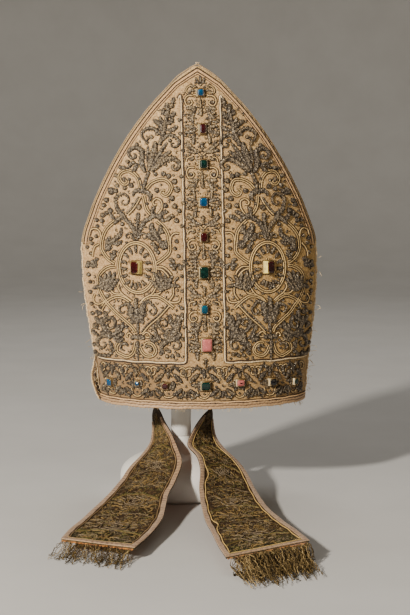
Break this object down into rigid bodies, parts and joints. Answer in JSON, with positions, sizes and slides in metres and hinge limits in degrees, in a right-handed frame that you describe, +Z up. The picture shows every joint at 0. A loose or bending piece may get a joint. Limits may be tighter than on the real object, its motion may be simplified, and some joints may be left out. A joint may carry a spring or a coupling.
{
  "type": "bishop mitre on a plain stand",
  "caption": "Tall two-horned mitre of embroidered silk with box-set stones, two fringed lappets brought forward, on a plain white turned stand.",
  "frame": {"origin": "centre of the stand's flat underside, on the surface it stands on", "axes": "+Z up along the stand's post, -Y the way the mitre's front faces, +X to the viewer's right"},
  "size_m": [0.3287, 0.5015, 0.5359],
  "materials": {
    "silk": "worn beige silk ground",
    "lining": "orange-brown silk",
    "pale_cord": "pale twisted cord",
    "gold_cord": "couched gold thread",
    "galloon": "woven gold galloon",
    "embroidery": "tarnished silver thread",
    "lappet_cloth": "brown and gold brocade",
    "lappet_galloon": "pale pink woven galloon",
    "fringe": "tarnished gold bullion",
    "setting": "worn silver-gilt",
    "stone_blue": "polished blue stone",
    "stone_garnet": "polished dark red stone",
    "stone_green": "polished green stone",
    "stone_red": "polished red stone",
    "stone_turquoise": "polished blue-green stone",
    "stone_pink": "polished pink stone",
    "stone_onyx": "polished black stone",
    "stand": "white paint, satin"
  },
  "bodies": {
    "root": {"front_horn": "silk", "back_horn": "silk", "gusset": "lining", "edge_cord_front": "pale_cord", "edge_cord_back": "pale_cord", "braid_front": "gold_cord", "braid_back": "gold_cord", "piping_left": "pale_cord", "piping_right": "pale_cord", "rim_galloon": "galloon", "field_cord_front_left": "gold_cord", "field_cord_front_right": "gold_cord", "field_cord_back_left": "gold_cord", "field_cord_back_right": "gold_cord", "ring_left": "gold_cord", "ring_right": "gold_cord", "setting_spine_1": "setting", "setting_spine_2": "setting", "setting_spine_3": "setting", "setting_spine_4": "setting", "setting_spine_5": "setting", "setting_spine_6": "setting", "setting_spine_7": "setting", "setting_spine_8": "setting", "setting_rim_1": "setting", "setting_rim_2": "setting", "setting_rim_3": "setting", "setting_rim_4": "setting", "setting_rim_5": "setting", "setting_rim_6": "setting", "setting_rim_7": "setting", "setting_disc_left": "setting", "setting_disc_right": "setting", "stone_spine_1": "stone_blue", "stone_spine_2": "stone_garnet", "stone_spine_3": "stone_green", "stone_spine_4": "stone_blue", "stone_spine_5": "stone_red", "stone_spine_6": "stone_green", "stone_spine_7": "stone_turquoise", "stone_spine_8": "stone_pink", "stone_rim_1": "stone_blue", "stone_rim_2": "stone_blue", "stone_rim_3": "stone_garnet", "stone_rim_4": "stone_green", "stone_rim_5": "stone_pink", "stone_rim_6": "stone_onyx", "stone_rim_7": "stone_green", "stone_disc_left": "stone_red", "stone_disc_right": "stone_red", "lappet_left": "lappet_cloth", "lappet_right": "lappet_cloth", "lappet_border_left": "lappet_galloon", "lappet_border_right": "lappet_galloon", "fringe_left": "fringe", "fringe_right": "fringe", "stand_base": "stand", "stand_post": "stand", "stand_pad": "stand"}
  },
  "joints": []
}
